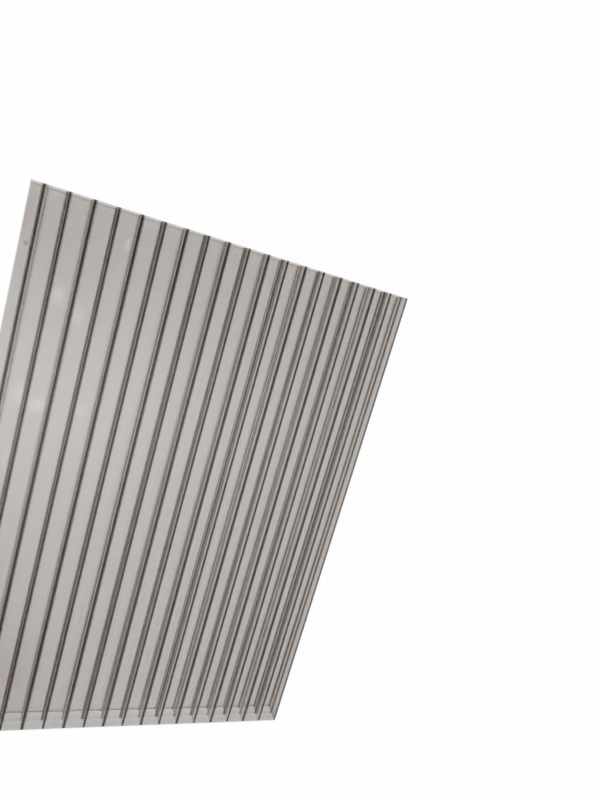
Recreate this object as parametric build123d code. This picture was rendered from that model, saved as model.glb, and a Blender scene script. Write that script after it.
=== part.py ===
"""A cut piece of triple-wall polycarbonate sheet, extruded in one piece.

Three level walls, the top, the middle and the bottom one, are joined by upright webs into two
layers of cells that run from end to end. The right edge is the one that the extruder closed, with
a thick web and a rounded corner on top. On the left the sheet is sawn along its length, in the
middle of a column of cells, so that the column is open there. Both ends are sawn square, with the
cells open.

Where a web meets a wall, the corners of the cells are rounded. The webs are of two kinds, in turn.
A slender one has a thin lower half that ends in a wide foot, and full corners under the top wall.
A stout one has a thick lower half, with its fullest corners under the middle wall and a small foot.
The lower halves of many webs lean a little, as they do in sheet that cooled unevenly.

Millimetres. X runs across the webs, Y along the cells and Z up. The origin is the middle of the
face that the sheet lies on.
"""
from build123d import *

import os

# Driving dimensions of the piece
sheet_length = 363.0
sheet_thickness = 16.0
web_pitch = 14.0
whole_columns = 18
edge_web_line = 1.5
sawn_overhang = 7.4

# Walls and webs
top_wall = 0.6
bottom_wall = 0.45
middle_wall = 0.2
middle_wall_depth = 8.9
upper_web = 0.7
slender_lower_web = 0.4
stout_lower_web = 1.05
edge_web = 1.1

# How far the lower half of a web stands off its line, towards the closed edge, by the web's number:
# first where it leaves the middle wall, then at its foot on the bottom wall
waist_drift = {0: 1.2, 1: -0.3, 2: -0.4, 15: 0.5, 16: 0.4, 17: 1.2}
foot_drift = {
    0: 1.4, 1: -0.8, 2: -1.4, 3: 0.6, 4: -0.2, 5: 0.4, 7: 0.5, 9: 0.9, 10: 0.9, 11: -0.7, 12: -0.6, 13: 0.8,
    14: 0.7, 15: 0.8, 16: 0.2, 17: 0.4,
}

# What the lower half of two webs near the closed edge has over the usual thickness
thickening = {15: 0.2, 17: 0.6}

# Radius of the closed edge's corner on the weather face
edge_radius = 1.8

# Radii of the cell corners where a web meets a wall
top_radius = {"slender": 1.45, "stout": 0.8}
above_middle_radius = 1.2
below_middle_radius = {"slender": 1.4, "stout": 2.0}
bottom_radius = {"slender": 2.4, "stout": 1.0}

# Places that follow from them
sheet_width = sawn_overhang + whole_columns * web_pitch + edge_web_line
right_face = sheet_width / 2
left_face = -sheet_width / 2
middle_wall_top = sheet_thickness - middle_wall_depth
middle_wall_under = middle_wall_top - middle_wall
top_wall_under = sheet_thickness - top_wall
sawn_column = -1


def web_line(number):
    """X of the centre of a web. Web 0 is the one nearest to the sawn side."""
    return right_face - edge_web_line - (whole_columns - number) * web_pitch


def web_kind(number):
    """The webs are slender and stout in turn."""
    return "slender" if number % 2 == 0 else "stout"


def web_sides(number, thickness, drift=0.0):
    """X of the left and the right side of a web. The last one ends at the closed edge's face."""
    if number == whole_columns:
        return right_face - edge_web, right_face
    centre = web_line(number) + drift
    return centre - thickness / 2, centre + thickness / 2


def upper_sides(number):
    """Sides of the half that stands between the middle and the top wall."""
    return web_sides(number, upper_web)


def lower_thickness(number):
    """Thickness of the half that stands between the bottom and the middle wall."""
    usual = stout_lower_web if web_kind(number) == "stout" else slender_lower_web
    return usual + thickening.get(number, 0.0)


def waist_sides(number):
    """Sides of the lower half where it meets the middle wall."""
    return web_sides(number, lower_thickness(number), waist_drift.get(number, 0.0))


def foot_sides(number):
    """Sides of the lower half where it meets the bottom wall."""
    return web_sides(number, lower_thickness(number), foot_drift.get(number, 0.0))


def upper_cell(column):
    """Section of one cell between the top wall and the middle wall."""
    left = upper_sides(column)[1]
    right = upper_sides(column + 1)[0]
    corners = [
        (left, middle_wall_top),
        (right, middle_wall_top),
        (right, top_wall_under),
        (left, top_wall_under),
    ]
    radii = [
        above_middle_radius,
        above_middle_radius,
        top_radius[web_kind(column + 1)],
        top_radius[web_kind(column)],
    ]
    return cell_face(corners, radii)


def lower_cell(column):
    """Section of one cell between the middle wall and the bottom wall."""
    corners = [
        (foot_sides(column)[1], bottom_wall),
        (foot_sides(column + 1)[0], bottom_wall),
        (waist_sides(column + 1)[0], middle_wall_under),
        (waist_sides(column)[1], middle_wall_under),
    ]
    radii = [
        bottom_radius[web_kind(column)],
        bottom_radius[web_kind(column + 1)],
        below_middle_radius[web_kind(column + 1)],
        below_middle_radius[web_kind(column)],
    ]
    return cell_face(corners, radii)


def cell_face(corners, radii):
    """A four-cornered face in the section plane, each corner rounded with its own radius."""
    points = [Vector(x, 0, z) for x, z in corners]
    return make_face(FilletPolyline(*points, radius=radii, close=True))


def sheet_section():
    """The section across the cells: the outline less every cell that is closed or sawn open."""
    outline = make_face(
        Polyline(
            (left_face, 0, 0),
            (right_face, 0, 0),
            (right_face, 0, sheet_thickness),
            (left_face, 0, sheet_thickness),
            close=True,
        )
    )
    edge_corner = outline.vertices().group_by(Axis.Z)[-1].sort_by(Axis.X)[-1]
    outline = fillet(edge_corner, radius=edge_radius)
    cells = []
    for column in range(sawn_column, whole_columns):
        cells.append(upper_cell(column))
        cells.append(lower_cell(column))
    return outline - cells


def triple_wall_sheet():
    """The whole piece: its section carried along the cells from end to end."""
    sheet = extrude(sheet_section(), amount=sheet_length / 2, dir=(0, 1, 0), both=True)
    sheet.label = "triple_wall_sheet"
    return sheet


os.makedirs("parts", exist_ok=True)
export_step(triple_wall_sheet(), "parts/triple_wall_sheet.step")
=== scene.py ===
"""Looks of a cut piece of smoke-grey triple-wall polycarbonate sheet, lying flat.

The sheet is drawn again here as one closed surface: its section, with true round corners in every
cell, is carried along the cells from end to end. Clear tinted plastic does the rest: a ray that
enters a web stays in it for the whole height of the sheet, so each web shows as a dark line.
"""

import math

import bpy
import numpy as np
from mathutils import Matrix, Vector
from mathutils.geometry import delaunay_2d_cdt


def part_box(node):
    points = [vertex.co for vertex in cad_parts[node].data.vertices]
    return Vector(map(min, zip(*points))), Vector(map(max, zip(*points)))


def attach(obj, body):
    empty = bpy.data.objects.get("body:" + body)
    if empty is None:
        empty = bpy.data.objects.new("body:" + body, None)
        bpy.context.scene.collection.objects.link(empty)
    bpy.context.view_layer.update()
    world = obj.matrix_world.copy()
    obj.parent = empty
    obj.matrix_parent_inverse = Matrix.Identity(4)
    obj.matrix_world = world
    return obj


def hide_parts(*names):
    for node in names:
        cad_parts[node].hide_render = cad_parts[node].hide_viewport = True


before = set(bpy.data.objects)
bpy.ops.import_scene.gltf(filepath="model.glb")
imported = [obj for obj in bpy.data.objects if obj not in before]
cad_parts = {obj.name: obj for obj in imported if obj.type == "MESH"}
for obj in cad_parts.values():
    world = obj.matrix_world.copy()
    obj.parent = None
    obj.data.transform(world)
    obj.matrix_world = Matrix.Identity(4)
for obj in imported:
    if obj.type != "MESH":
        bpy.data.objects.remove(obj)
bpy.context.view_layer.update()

MM = 0.001
NODE = "triple_wall_sheet"

# Section of the sheet, in millimetres, as in the part's source
WEB_PITCH = 14.0
WHOLE_COLUMNS = 18
TOP_WALL = 0.6
BOTTOM_WALL = 0.45
MIDDLE_WALL = 0.2
MIDDLE_WALL_DEPTH = 8.9
UPPER_WEB = 0.7
SLENDER_LOWER_WEB = 0.4
STOUT_LOWER_WEB = 1.05
EDGE_WEB = 1.1
EDGE_WEB_LINE = 1.5
WAIST_DRIFT = {0: 1.2, 1: -0.3, 2: -0.4, 15: 0.5, 16: 0.4, 17: 1.2}
FOOT_DRIFT = {
    0: 1.4, 1: -0.8, 2: -1.4, 3: 0.6, 4: -0.2, 5: 0.4, 7: 0.5, 9: 0.9,
    10: 0.9, 11: -0.7, 12: -0.6, 13: 0.8, 14: 0.7, 15: 0.8, 16: 0.2, 17: 0.4,
}
THICKENING = {15: 0.2, 17: 0.6}
TOP_RADIUS = {"slender": 1.45, "stout": 0.8}
ABOVE_MIDDLE_RADIUS = 1.2
BELOW_MIDDLE_RADIUS = {"slender": 1.4, "stout": 2.0}
BOTTOM_RADIUS = {"slender": 2.4, "stout": 1.0}
EDGE_RADIUS = 1.8

# How finely the mesh is divided, round each corner and along the cells
CORNER_STEPS = 6
LENGTH_STEPS = 24

# The saw left both ends of the bottom wall a little short, with a burr along them
NEAR_SHORTFALL = 1.5
FAR_SHORTFALL = 0.7
BURR_WIDTH = 0.7
BURR_HEIGHT = 0.6
BURR_RAGGEDNESS = 1.6
FAR_BURR_STRENGTH = 0.45

# Outer size, from the frame
LOW, HIGH = (np.array(corner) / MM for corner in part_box(NODE))
LEFT, RIGHT = LOW[0], HIGH[0]
THICKNESS = HIGH[2]
MIDDLE_TOP = THICKNESS - MIDDLE_WALL_DEPTH
MIDDLE_UNDER = MIDDLE_TOP - MIDDLE_WALL
TOP_UNDER = THICKNESS - TOP_WALL

# The plastic: its tint and how it bends light, the skin of its weather face, and its sawn faces
PLASTIC_IOR = 1.585
TINT_COLOUR = (0.65, 0.61, 0.578, 1.0)
TINT_DENSITY = 790.0
SHADOW_CLEARNESS = (0.93, 0.93, 0.93, 1.0)
SKIN_DEPTH = 0.05
PLAIN_COLOUR = (1.0, 1.0, 1.0, 1.0)
SKIN_PINK = (0.76, 0.733, 0.716, 1.0)
SKIN_GREEN = (0.745, 0.729, 0.709, 1.0)
STREAK_COLOUR = (0.69, 0.666, 0.647, 1.0)
# Painted highlight and rosy painted shade on the weather face, a speck of dirt, and the burr
PAINTED_HIGHLIGHT_COLOUR = (1.0, 1.0, 0.975, 1.0)
ROSY_PAINTED_SHADE_COLOUR = (0.68, 0.625, 0.61, 1.0)
SPECK_COLOUR = (0.3, 0.28, 0.26, 1.0)
BURR_COLOUR = (0.5, 0.47, 0.45, 1.0)
# Painted shade on the closed edge's corner; then the sawn faces and their marks
EDGE_CORNER_SHADE_COLOUR = (0.3, 0.29, 0.28, 1.0)
SAWN_COLOUR = (0.5, 0.49, 0.48, 1.0)
SAWN_ROUGHNESS = 0.4
BURR_ROUGHNESS = 0.25
DIE_LINE_DEPTH = 0.004
SAW_MARK_DEPTH = 0.15

# Painted highlights and rosy painted shade on the weather face: centre, reach across and along in mm,
# strength
PAINTED_HIGHLIGHT_PATCHES = [
    ((-71.9, 161.5), (2.6, 6.0), 0.95),
    ((-113.0, 58.0), (8.0, 10.0), 0.5),
    ((-102.0, 53.0), (8.0, 7.0), 0.65),
    ((-77.0, 55.0), (8.0, 8.0), 0.35),
    ((-104.0, 122.0), (6.5, 10.0), 0.75),
    ((-91.0, 113.0), (6.5, 12.0), 0.55),
    ((-112.0, 15.0), (8.0, 14.0), 0.25),
]
ROSY_PAINTED_SHADE_PATCHES = [
    ((-16.0, 165.0), (6.0, 8.0), 0.4),
    ((112.0, -118.0), (16.0, 26.0), 0.5),
    ((-84.0, -136.0), (34.0, 50.0), 1.0),
    ((-2.0, 17.0), (6.0, 30.0), 0.3),
    ((-130.0, 166.0), (7.0, 22.0), 0.8),
]
SPECK = ((-126.6, 146.4), (1.8, 2.4))

# Floor, a square below the sheet: half its side, its gap under the sheet, its paint and its painted
# shade
FLOOR_REACH = 3000.0
FLOOR_GAP = 0.2
FLOOR_COLOURS = ((0.85, 0.85, 0.85, 1.0), (0.87, 0.87, 0.865, 1.0))
FLOOR_GRAIN_DEPTH = 0.1
FLOOR_WHITE_SHARE = 0.97
FLOOR_SHADE = 0.31

# Room light, as a share of white: its level, how much each soft patch adds to it, and its least.
# A patch has its middle and spread by how far over the light leans, across and along the sheet.
ROOM_LEVEL = 0.5
ROOM_PATCHES = [
    {"across": (-0.05, 0.3), "along": (-0.27, 0.105), "adds": 0.365},
    {"across": (-0.1, 0.5), "along": (0.11, 0.15), "adds": -0.74},
    {"across": (0.03, 0.12), "along": (-0.8, 0.17), "adds": -0.45},
]
RIGHT_SIDE_ADDS = -0.2
LEAST_LIGHT = 0.02

# Lamps: how wide they are in metres, and where each stands in metres, with its power in watts
LAMP_SIZE = 2.0
LAMPS = {"key": ((-0.9, 1.1, 1.6), 22.0), "fill": ((-1.3, -0.7, 1.4), 12.0)}

# Camera: where it stands and looks, in millimetres, and how far it is turned about its own axis
EYE = (-117.17, 162.01, 407.34)
AIM = (68.24, 90.03, 16.0)
ROLL = 16.383
LENS = 27.315
SENSOR_WIDTH = 36.0
NEAREST, FARTHEST = 10.0, 50000.0

# A ray crosses many walls and webs, so it needs many bounces
BOUNCES = 32
GLOSSY_BOUNCES = 12
PIXEL_BLUR = 1.7


def web_line(number):
    """X of a web's centre. Web 0 is the one nearest to the sawn side."""
    return RIGHT - EDGE_WEB_LINE - (WHOLE_COLUMNS - number) * WEB_PITCH


def web_kind(number):
    """The webs are of two kinds in turn, named after their lower half."""
    return "slender" if number % 2 == 0 else "stout"


def web_sides(number, thickness, drift=0.0):
    """X of the two sides of a web, the sawn edge's side first."""
    if number == WHOLE_COLUMNS:
        return RIGHT - EDGE_WEB, RIGHT
    line = web_line(number) + drift
    return line - thickness / 2, line + thickness / 2


def upper_sides(number):
    """Sides of a web's upper half."""
    return web_sides(number, UPPER_WEB)


def lower_thickness(number):
    """Thickness of a web's lower half."""
    usual = STOUT_LOWER_WEB if web_kind(number) == "stout" else SLENDER_LOWER_WEB
    return usual + THICKENING.get(number, 0.0)


def waist_sides(number):
    """Sides of a web's lower half where it leaves the middle wall."""
    return web_sides(number, lower_thickness(number), WAIST_DRIFT.get(number, 0.0))


def foot_sides(number):
    """Sides of a web's lower half where it meets the bottom wall."""
    return web_sides(number, lower_thickness(number), FOOT_DRIFT.get(number, 0.0))


def rounded_ring(corners, radii):
    """A closed ring of points round a section, with its corners rounded.

    The ring runs with the plastic on its left. At a corner with unit direction a before it, the
    walk turns through the angle w towards the unit direction n, square to a. The arc of radius r
    starts r tan(w/2) before the corner, its centre lies r on from there along n, and its point at
    angle t is centre + r (a sin t - n cos t). The walk there goes along a cos t + n sin t, and the
    surface faces to the right of that. A corner of no radius keeps one point, with two facings.
    """
    corners = np.array(corners, float)
    radii = np.array(radii, float)
    ahead = np.roll(corners, -1, axis=0) - corners
    after = ahead / np.linalg.norm(ahead, axis=1, keepdims=True)
    before = np.roll(after, 1, axis=0)
    along = (before * after).sum(axis=1)
    turn = np.arccos(np.clip(along, -1.0, 1.0))
    side = after - along[:, None] * before
    side /= np.linalg.norm(side, axis=1, keepdims=True)
    angle = turn[:, None] * np.linspace(0, 1, CORNER_STEPS + 1)[None, :]
    sine = np.sin(angle)[..., None]
    cosine = np.cos(angle)[..., None]
    a = before[:, None, :]
    n = side[:, None, :]
    r = radii[:, None, None]
    centre = corners[:, None, :] - r * np.tan(turn / 2)[:, None, None] * a + r * n
    points = centre + r * (a * sine - n * cosine)
    travel = a * cosine + n * sine
    facing = np.stack([travel[..., 1], -travel[..., 0]], axis=-1)
    facing_in = facing.copy()
    facing_out = facing.copy()
    sharp = radii == 0
    facing_out[sharp, 0] = facing[sharp, -1]
    keep = np.ones(points.shape[:2], bool)
    keep[sharp, 1:] = False
    return points[keep], facing_in[keep], facing_out[keep]


def upper_cell_ring(column):
    """A cell between the top and the middle wall, walked clockwise: the plastic is on the left."""
    left = upper_sides(column)[1]
    right = upper_sides(column + 1)[0]
    corners = [(left, MIDDLE_TOP), (left, TOP_UNDER), (right, TOP_UNDER), (right, MIDDLE_TOP)]
    radii = [
        ABOVE_MIDDLE_RADIUS,
        TOP_RADIUS[web_kind(column)],
        TOP_RADIUS[web_kind(column + 1)],
        ABOVE_MIDDLE_RADIUS,
    ]
    return rounded_ring(corners, radii)


def lower_cell_ring(column):
    """A cell between the middle and the bottom wall, walked clockwise."""
    corners = [
        (foot_sides(column)[1], BOTTOM_WALL),
        (waist_sides(column)[1], MIDDLE_UNDER),
        (waist_sides(column + 1)[0], MIDDLE_UNDER),
        (foot_sides(column + 1)[0], BOTTOM_WALL),
    ]
    radii = [
        BOTTOM_RADIUS[web_kind(column)],
        BELOW_MIDDLE_RADIUS[web_kind(column)],
        BELOW_MIDDLE_RADIUS[web_kind(column + 1)],
        BOTTOM_RADIUS[web_kind(column + 1)],
    ]
    return rounded_ring(corners, radii)


def cell_rings():
    """Every whole cell, two to a column."""
    rings = []
    for column in range(WHOLE_COLUMNS):
        rings.append(upper_cell_ring(column))
        rings.append(lower_cell_ring(column))
    return rings


def outer_ring():
    """The outline, walked anticlockwise, in and out of the two slots that the saw opened."""
    upper = upper_sides(0)[0]
    lower = waist_sides(0)[0]
    foot = foot_sides(0)[0]
    walk = [
        (LEFT, 0, 0),
        (RIGHT, 0, 0),
        (RIGHT, THICKNESS, EDGE_RADIUS),
        (LEFT, THICKNESS, 0),
        (LEFT, TOP_UNDER, 0),
        (upper, TOP_UNDER, TOP_RADIUS[web_kind(0)]),
        (upper, MIDDLE_TOP, ABOVE_MIDDLE_RADIUS),
        (LEFT, MIDDLE_TOP, 0),
        (LEFT, MIDDLE_UNDER, 0),
        (lower, MIDDLE_UNDER, BELOW_MIDDLE_RADIUS[web_kind(0)]),
        (foot, BOTTOM_WALL, BOTTOM_RADIUS[web_kind(0)]),
        (LEFT, BOTTOM_WALL, 0),
    ]
    corners = [(x, z) for x, z, radius in walk]
    radii = [radius for x, z, radius in walk]
    return rounded_ring(corners, radii)


def side_surface(ring, stations, first):
    """A ring carried along the cells: point (i, j) is ring point j at station i.

    Returns the points, the four-cornered faces and the facing of each face corner.
    """
    points, facing_in, facing_out = ring
    count = len(points)
    across = np.broadcast_to(points[None, :, :], (len(stations), count, 2))
    along = np.broadcast_to(stations[:, None], (len(stations), count))
    places = np.stack([across[..., 0], along, across[..., 1]], axis=-1).reshape(-1, 3)
    i, j = np.meshgrid(np.arange(len(stations) - 1), np.arange(count), indexing="ij")
    ahead = (j + 1) % count
    quads = np.stack(
        [i * count + j, (i + 1) * count + j, (i + 1) * count + ahead, i * count + ahead], axis=-1
    ).reshape(-1, 4)
    start = facing_out[j.ravel()]
    end = facing_in[ahead.ravel()]
    facings = np.stack([start, start, end, end], axis=1)
    facings = np.stack([facings[..., 0], np.zeros(facings.shape[:2]), facings[..., 1]], axis=-1)
    return places, quads + first, facings


def end_faces(rings, ring_starts, station, facing):
    """The sawn end: triangles between all the rings, less those that lie inside a cell.

    A cell is convex, so a triangle whose three corners are on one cell's ring lies in that cell.
    """
    flat = np.concatenate([ring[0] for ring in rings])
    sizes = [len(ring[0]) for ring in rings]
    owner = np.repeat(np.arange(len(rings)), sizes)
    numbers = np.concatenate(
        [start + station * size + np.arange(size) for start, size in zip(ring_starts, sizes)]
    )
    edges = []
    for first, size in zip(np.cumsum([0] + sizes[:-1]), sizes):
        edges += [(first + k, first + (k + 1) % size) for k in range(size)]
    outline = list(range(sizes[0]))
    only_inside = 1
    tolerance = 1e-6
    result = delaunay_2d_cdt([Vector(place) for place in flat], edges, [outline], only_inside, tolerance)
    corners_found, sources_found = result[2], result[3]
    source = np.array([ids[0] for ids in sources_found])
    triangles = source[np.array(corners_found)]
    of_ring = owner[triangles]
    in_cell = (of_ring[:, 0] == of_ring[:, 1]) & (of_ring[:, 1] == of_ring[:, 2]) & (of_ring[:, 0] > 0)
    triangles = triangles[~in_cell]
    p, q, r = (flat[triangles[:, k]] for k in range(3))
    area = (q[:, 0] - p[:, 0]) * (r[:, 1] - p[:, 1]) - (q[:, 1] - p[:, 1]) * (r[:, 0] - p[:, 0])
    wrong = area * facing < 0
    triangles[wrong] = triangles[wrong][:, ::-1]
    return numbers[triangles]


def shorten_bottom_wall(places):
    """The points, with those of both ends drawn in below the middle wall.

    A point moves by the shortfall times its depth below the middle wall over that wall's height.
    """
    share = np.clip((MIDDLE_UNDER - places[:, 2]) / MIDDLE_UNDER, 0, 1)
    shortfall = NEAR_SHORTFALL * (places[:, 1] == LOW[1]) - FAR_SHORTFALL * (places[:, 1] == HIGH[1])
    places[:, 1] += shortfall * share
    return places


def sawn_marks(outline, side_count, end_count):
    """1 for each face that the saw made: those along the left side, and those of the ends."""
    on_left = outline[:, 0] == LEFT
    marks = np.zeros(side_count + end_count, np.float32)
    marks[: len(on_left) * LENGTH_STEPS] = np.tile(on_left & np.roll(on_left, -1), LENGTH_STEPS)
    marks[side_count:] = 1.0
    return marks


def sheet_mesh():
    """The whole sheet as one closed mesh, with its true facings and its sawn faces stored on it."""
    stations = np.linspace(LOW[1], HIGH[1], LENGTH_STEPS + 1)
    rings = [outer_ring()] + cell_rings()
    places, quads, facings, starts = [], [], [], []
    first = 0
    for ring in rings:
        starts.append(first)
        ring_places, ring_quads, ring_facings = side_surface(ring, stations, first)
        places.append(ring_places)
        quads.append(ring_quads)
        facings.append(ring_facings.reshape(-1, 3))
        first += len(ring_places)
    near = end_faces(rings, starts, 0, 1.0)
    far = end_faces(rings, starts, LENGTH_STEPS, -1.0)
    facings.append(np.tile((0.0, -1.0, 0.0), (near.size, 1)))
    facings.append(np.tile((0.0, 1.0, 0.0), (far.size, 1)))
    places = shorten_bottom_wall(np.concatenate(places)) * MM
    quads = np.concatenate(quads)
    mesh = bpy.data.meshes.new(NODE + "_finished")
    mesh.from_pydata(places.tolist(), [], quads.tolist() + near.tolist() + far.tolist())
    mesh.update()
    mesh.shade_smooth()
    mesh.normals_split_custom_set(np.concatenate(facings).tolist())
    marks = sawn_marks(rings[0][0], len(quads), len(near) + len(far))
    mesh.attributes.new("sawn", "FLOAT", "FACE").data.foreach_set("value", marks)
    return mesh


def empty_material(name):
    """A material with nodes, but with none in it yet."""
    material = bpy.data.materials.new(name)
    material.use_nodes = True
    material.node_tree.nodes.clear()
    return material


def socket(node, name, value):
    """Sets one input of a node to a fixed value."""
    node.inputs[name].default_value = value


def object_place(tree):
    """The object's own coordinates, whole and by axis."""
    place = tree.nodes.new("ShaderNodeTexCoord").outputs["Object"]
    axes = tree.nodes.new("ShaderNodeSeparateXYZ")
    tree.links.new(place, axes.inputs[0])
    return place, axes.outputs


def maths(tree, operation, *values):
    """A Math node. Each value is a number or another node's output. Returns its output."""
    node = tree.nodes.new("ShaderNodeMath")
    node.operation = operation
    for number, value in enumerate(values):
        if isinstance(value, (int, float)):
            node.inputs[number].default_value = value
        else:
            tree.links.new(value, node.inputs[number])
    return node.outputs[0]


def hill(tree, value, middle, spread):
    """A bell curve: 1 where the value is the middle one, and about 0.6 one spread away."""
    away = maths(tree, "DIVIDE", maths(tree, "SUBTRACT", value, middle), spread)
    return maths(tree, "EXPONENT", maths(tree, "MULTIPLY", maths(tree, "MULTIPLY", away, away), -0.5))


def step_up(tree, value, start, end):
    """0 up to the start, 1 from the end on, and a smooth rise between them."""
    node = tree.nodes.new("ShaderNodeMapRange")
    node.interpolation_type = "SMOOTHSTEP"
    tree.links.new(value, node.inputs["Value"])
    socket(node, "From Min", start)
    socket(node, "From Max", end)
    return node.outputs["Result"]


def noise(tree, place, size):
    """Soft noise round 0.5, with a grain of the given size in millimetres across, along and up."""
    stretch = tree.nodes.new("ShaderNodeMapping")
    tree.links.new(place, stretch.inputs["Vector"])
    socket(stretch, "Scale", [1 / (length * MM) for length in size])
    grain = tree.nodes.new("ShaderNodeTexNoise")
    tree.links.new(stretch.outputs["Vector"], grain.inputs["Vector"])
    socket(grain, "Scale", 1.0)
    return grain.outputs["Fac"]


def bump_normal(tree, relief, depth, strength):
    """The normal of a bumped surface. The depth, in millimetres, is that of a relief of 1."""
    bump = tree.nodes.new("ShaderNodeBump")
    tree.links.new(relief, bump.inputs["Height"])
    socket(bump, "Strength", strength)
    socket(bump, "Distance", depth * MM)
    return bump.outputs["Normal"]


def burr(tree, place, axes):
    """1 on the ragged burr along the near end of the bottom wall, and less on the far end's."""
    low = maths(tree, "LESS_THAN", axes["Z"], BURR_HEIGHT * MM)
    ragged = maths(tree, "SUBTRACT", noise(tree, place, (3.0, 30.0, 30.0)), 0.5)
    along = maths(tree, "MULTIPLY_ADD", ragged, BURR_RAGGEDNESS * MM, axes["Y"])
    inner = HIGH[1] - FAR_SHORTFALL - BURR_WIDTH
    far = step_up(tree, along, (inner - 0.2) * MM, (inner + 0.1) * MM)
    far = maths(tree, "MULTIPLY", far, FAR_BURR_STRENGTH)
    inner = LOW[1] + NEAR_SHORTFALL + BURR_WIDTH
    near = step_up(tree, along, (inner + 0.2) * MM, (inner - 0.1) * MM)
    whole = maths(tree, "MULTIPLY", low, maths(tree, "MAXIMUM", far, near))
    broken = step_up(tree, noise(tree, place, (9.0, 60.0, 60.0)), 0.2, 0.5)
    return maths(tree, "MULTIPLY", whole, broken)


def vector_maths(tree, operation, place, fixed=(0.0, 0.0, 0.0)):
    """A Vector Math node between another node's output and a fixed vector. Returns its outputs."""
    node = tree.nodes.new("ShaderNodeVectorMath")
    node.operation = operation
    tree.links.new(place, node.inputs[0])
    node.inputs[1].default_value = fixed
    return node.outputs


def spot(tree, place, centre, reach):
    """A soft round spot on the top face: 1 at its centre, and 0 from its reach on."""
    to_centre = vector_maths(tree, "SUBTRACT", place, (centre[0] * MM, centre[1] * MM, THICKNESS * MM))
    shrunk = vector_maths(tree, "DIVIDE", to_centre["Vector"], (reach[0] * MM, reach[1] * MM, MM))
    away = vector_maths(tree, "LENGTH", shrunk["Vector"])
    return step_up(tree, away["Value"], 1.0, 0.0)


def blend(tree, share, first, second):
    """A colour between two. Each is a colour or another node's output."""
    node = tree.nodes.new("ShaderNodeMix")
    node.data_type = "RGBA"
    tree.links.new(share, node.inputs["Factor"])
    for name, colour in (("A", first), ("B", second)):
        if isinstance(colour, tuple):
            socket(node, name, colour)
        else:
            tree.links.new(colour, node.inputs[name])
    return node.outputs["Result"]


def with_patches(tree, place, colour, patches, patch_colour):
    """The colour, turned towards the patch colour in each patch by the patch's own amount."""
    for centre, reach, amount in patches:
        share = maths(tree, "MULTIPLY", spot(tree, place, centre, reach), amount)
        colour = blend(tree, share, colour, patch_colour)
    return colour


def skin_colour(tree, place, along):
    """Tint of the weather face, varying a little: painted highlights, rosy painted shade, a speck of
    dirt.

    Streaks run along the cells, as the die left them, and are plainer towards the near end.
    """
    colour = blend(tree, noise(tree, place, (30.0, 70.0, 30.0)), SKIN_PINK, SKIN_GREEN)
    streak = step_up(tree, noise(tree, place, (2.5, 300.0, 30.0)), 0.3, 0.7)
    plainer = maths(tree, "MULTIPLY_ADD", step_up(tree, along, 40.0 * MM, -120.0 * MM), 0.6, 0.4)
    colour = blend(tree, maths(tree, "MULTIPLY", streak, plainer), colour, STREAK_COLOUR)
    # The pale patches are painted highlights, where room light would be mirrored in the weather face
    colour = with_patches(tree, place, colour, PAINTED_HIGHLIGHT_PATCHES, PAINTED_HIGHLIGHT_COLOUR)
    # The rosy patches are painted shade: a darker rosy tint on parts of the weather face
    colour = with_patches(tree, place, colour, ROSY_PAINTED_SHADE_PATCHES, ROSY_PAINTED_SHADE_COLOUR)
    return blend(tree, spot(tree, place, *SPECK), colour, SPECK_COLOUR)


def painted_edge_corner_shade(tree, axes):
    """1 where shade is painted on the closed edge's rounded corner, from where it starts to turn down.
    """
    outer = step_up(tree, axes["X"], (RIGHT - 0.9) * MM, (RIGHT - 0.4) * MM)
    high = maths(tree, "GREATER_THAN", axes["Z"], (THICKNESS - EDGE_RADIUS) * MM)
    return maths(tree, "MULTIPLY", outer, high)


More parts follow.
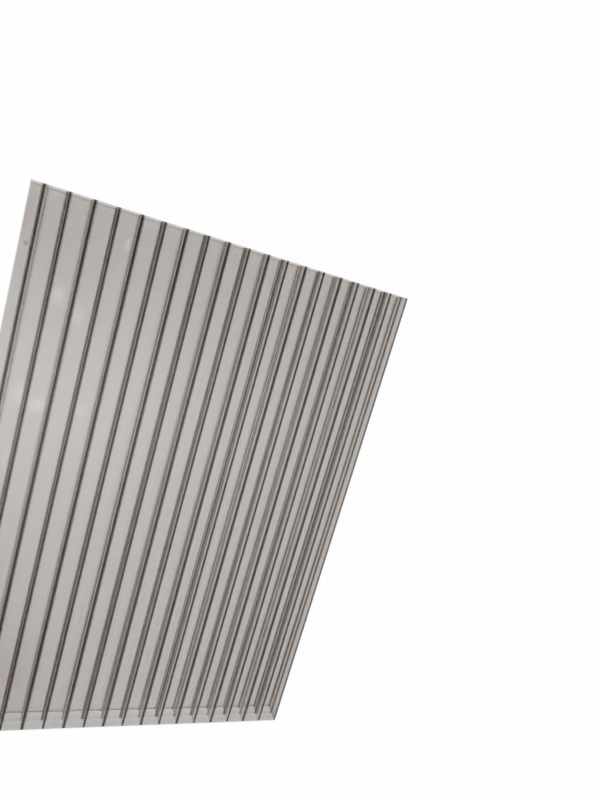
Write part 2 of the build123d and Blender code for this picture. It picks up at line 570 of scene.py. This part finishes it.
def clear_plastic():
    """Clear glossy plastic with a smoke-grey tint that deepens with the way through it.

    The weather face has a skin of its own tint, which every view through the sheet passes once.
    The closed edge's corner is darker, with painted shade. Faint die lines run along the cells,
    and the sawn faces are rough and dull. For a shadow the sheet is nearly clear.
    """
    material = empty_material("smoke_grey_plastic")
    tree = material.node_tree
    nodes = tree.nodes
    links = tree.links
    place, axes = object_place(tree)
    mark = nodes.new("ShaderNodeAttribute")
    mark.attribute_name = "sawn"
    sawn = mark.outputs["Fac"]
    burred = burr(tree, place, axes)

    on_top = maths(tree, "GREATER_THAN", axes["Z"], (THICKNESS - SKIN_DEPTH) * MM)
    colour = blend(tree, on_top, PLAIN_COLOUR, skin_colour(tree, place, axes["Y"]))
    # Painted shade on the rounded corner of the closed edge
    colour = blend(tree, painted_edge_corner_shade(tree, axes), colour, EDGE_CORNER_SHADE_COLOUR)
    colour = blend(tree, burred, colour, BURR_COLOUR)
    colour = blend(tree, sawn, colour, SAWN_COLOUR)

    smeared = maths(tree, "MULTIPLY_ADD", noise(tree, place, (12.0, 25.0, 12.0)), 0.08, -0.015)
    rough = maths(tree, "MULTIPLY_ADD", burred, BURR_ROUGHNESS, smeared)
    rough = maths(tree, "MULTIPLY_ADD", sawn, SAWN_ROUGHNESS, rough)

    die_lines = maths(tree, "MULTIPLY", noise(tree, place, (4.0, 400.0, 4.0)), DIE_LINE_DEPTH)
    saw_marks = maths(tree, "MULTIPLY", noise(tree, place, (0.5, 0.5, 5.0)), SAW_MARK_DEPTH)
    relief = maths(tree, "MULTIPLY_ADD", sawn, saw_marks, die_lines)

    shine = nodes.new("ShaderNodeBsdfPrincipled")
    links.new(colour, shine.inputs["Base Color"])
    links.new(rough, shine.inputs["Roughness"])
    links.new(bump_normal(tree, relief, 1.0, 1.0), shine.inputs["Normal"])
    socket(shine, "IOR", PLASTIC_IOR)
    socket(shine, "Transmission Weight", 1.0)
    passing = nodes.new("ShaderNodeBsdfTransparent")
    socket(passing, "Color", SHADOW_CLEARNESS)
    path = nodes.new("ShaderNodeLightPath")
    mix = nodes.new("ShaderNodeMixShader")
    links.new(path.outputs["Is Shadow Ray"], mix.inputs[0])
    links.new(shine.outputs[0], mix.inputs[1])
    links.new(passing.outputs[0], mix.inputs[2])
    tint = nodes.new("ShaderNodeVolumeAbsorption")
    socket(tint, "Color", TINT_COLOUR)
    socket(tint, "Density", TINT_DENSITY)
    out = nodes.new("ShaderNodeOutputMaterial")
    links.new(mix.outputs[0], out.inputs["Surface"])
    links.new(tint.outputs[0], out.inputs["Volume"])
    return material


def white_rays(tree):
    """1 for the rays that show the white background: those of the eye, of gloss and through plastic."""
    path = tree.nodes.new("ShaderNodeLightPath")
    shown = maths(tree, "MAXIMUM", path.outputs["Is Camera Ray"], path.outputs["Is Glossy Ray"])
    return maths(tree, "MAXIMUM", shown, path.outputs["Is Transmission Ray"])


def near_end_shade(tree, axes):
    """1 in a soft band of painted shade along the sheet's near end, about as wide as the sheet is high.
    """
    edge = LOW[1]
    ramps = [
        ("Y", edge - 16.0, edge - 12.0),
        ("Y", edge + 9.0, edge - 12.0),
        ("X", LEFT - 2.0, LEFT + 4.0),
        ("X", RIGHT + 10.5, RIGHT + 8.0),
    ]
    shade = 1.0
    for axis, none_at, full_at in ramps:
        shade = maths(tree, "MULTIPLY", step_up(tree, axes[axis], none_at * MM, full_at * MM), shade)
    return shade


def floor_finish():
    """Pale studio floor: plain white to the eye and through the plastic, and lit for the rest.

    A soft shade is painted along the sheet's near end, as light from behind it would cast. The floor's
    paint has a fine grain and is a little uneven.
    """
    material = empty_material("pale_floor")
    tree = material.node_tree
    nodes = tree.nodes
    links = tree.links
    place, axes = object_place(tree)
    uneven = noise(tree, place, (40.0, 40.0, 40.0))
    grain = noise(tree, place, (0.8, 0.8, 0.8))
    lit = nodes.new("ShaderNodeBsdfPrincipled")
    links.new(blend(tree, uneven, *FLOOR_COLOURS), lit.inputs["Base Color"])
    links.new(maths(tree, "MULTIPLY_ADD", uneven, 0.2, 0.5), lit.inputs["Roughness"])
    links.new(bump_normal(tree, grain, FLOOR_GRAIN_DEPTH, 0.3), lit.inputs["Normal"])
    white = nodes.new("ShaderNodeEmission")
    # Painted shade: the floor's white is dimmed in a band along the sheet's near end
    level = maths(tree, "MULTIPLY_ADD", near_end_shade(tree, axes), -FLOOR_SHADE, 1.0)
    links.new(level, white.inputs["Strength"])
    mix = nodes.new("ShaderNodeMixShader")
    links.new(maths(tree, "MULTIPLY", white_rays(tree), FLOOR_WHITE_SHARE), mix.inputs[0])
    links.new(lit.outputs[0], mix.inputs[1])
    links.new(white.outputs[0], mix.inputs[2])
    out = nodes.new("ShaderNodeOutputMaterial")
    links.new(mix.outputs[0], out.inputs["Surface"])
    return material


def studio_world():
    """Soft grey room light, lighter in one wide patch overhead and dim straight above.

    How far over the light leans is its run across and along the sheet for each unit of height.
    Round the horizon the room shows the same white as the floor.
    """
    world = bpy.data.worlds.new("studio_room")
    bpy.context.scene.world = world
    world.use_nodes = True
    tree = world.node_tree
    towards = tree.nodes.new("ShaderNodeSeparateXYZ")
    tree.links.new(tree.nodes.new("ShaderNodeTexCoord").outputs["Generated"], towards.inputs[0])
    rise = maths(tree, "MAXIMUM", towards.outputs["Z"], 0.05)
    across = maths(tree, "DIVIDE", towards.outputs["X"], rise)
    along = maths(tree, "DIVIDE", towards.outputs["Y"], rise)
    light = ROOM_LEVEL
    for patch in ROOM_PATCHES:
        over = hill(tree, across, *patch["across"])
        share = maths(tree, "MULTIPLY", hill(tree, along, *patch["along"]), over)
        light = maths(tree, "MULTIPLY_ADD", share, patch["adds"], light)
    light = maths(tree, "MULTIPLY_ADD", step_up(tree, across, 0.3, 0.55), RIGHT_SIDE_ADDS, light)
    light = maths(tree, "MAXIMUM", light, LEAST_LIGHT)
    horizon = maths(tree, "MULTIPLY", white_rays(tree), step_up(tree, towards.outputs["Z"], 0.55, 0.3))
    paler = maths(tree, "MULTIPLY", horizon, maths(tree, "SUBTRACT", 1.0, light))
    room = tree.nodes["Background"]
    socket(room, "Color", PLAIN_COLOUR)
    tree.links.new(maths(tree, "ADD", light, paler), room.inputs["Strength"])


def soft_lamp(name, place, power):
    """A wide square lamp that points at the sheet's middle, but isn't mirrored in its gloss."""
    data = bpy.data.lights.new(name, "AREA")
    data.shape = "SQUARE"
    data.size = LAMP_SIZE
    data.energy = power
    lamp = bpy.data.objects.new(name, data)
    bpy.context.collection.objects.link(lamp)
    lamp.location = place
    lamp.rotation_mode = "QUATERNION"
    lamp.rotation_quaternion = (-Vector(place)).to_track_quat("-Z", "Y")
    lamp.visible_glossy = False


def floor_mesh():
    """One square, just below the sheet."""
    reach = FLOOR_REACH * MM
    below = -FLOOR_GAP * MM
    corners = [
        (-reach, -reach, below),
        (reach, -reach, below),
        (reach, reach, below),
        (-reach, reach, below),
    ]
    mesh = bpy.data.meshes.new("floor")
    mesh.from_pydata(corners, [], [(0, 1, 2, 3)])
    return mesh


def camera():
    """The camera stands at EYE and looks at AIM, with the far end of the sheet upwards, then turns."""
    data = bpy.data.cameras.new("camera")
    data.sensor_width = SENSOR_WIDTH
    data.lens = LENS
    data.clip_start = NEAREST * MM
    data.clip_end = FARTHEST * MM
    eye, aim = Vector(EYE) * MM, Vector(AIM) * MM
    forward = (aim - eye).normalized()
    right = forward.cross(Vector((0, 1, 0))).normalized()
    up = right.cross(forward)
    turn = Matrix.Rotation(math.radians(-ROLL), 3, forward)
    right, up = turn @ right, turn @ up
    axes = Matrix((right, up, -forward)).transposed().to_4x4()
    axes.translation = eye
    item = bpy.data.objects.new("camera", data)
    bpy.context.collection.objects.link(item)
    item.matrix_world = axes
    bpy.context.scene.camera = item


camera()

sheet = bpy.data.objects.new("sheet", sheet_mesh())
bpy.context.collection.objects.link(sheet)
sheet.data.materials.append(clear_plastic())
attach(sheet, "root")
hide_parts(NODE)

floor = bpy.data.objects.new("floor", floor_mesh())
bpy.context.collection.objects.link(floor)
floor.data.materials.append(floor_finish())

studio_world()
for name, (place, power) in LAMPS.items():
    soft_lamp(name, place, power)

scene = bpy.context.scene
scene.view_settings.view_transform = "Standard"
scene.cycles.max_bounces = BOUNCES
scene.cycles.transmission_bounces = BOUNCES
scene.cycles.transparent_max_bounces = BOUNCES
scene.cycles.glossy_bounces = GLOSSY_BOUNCES
scene.cycles.filter_width = PIXEL_BLUR
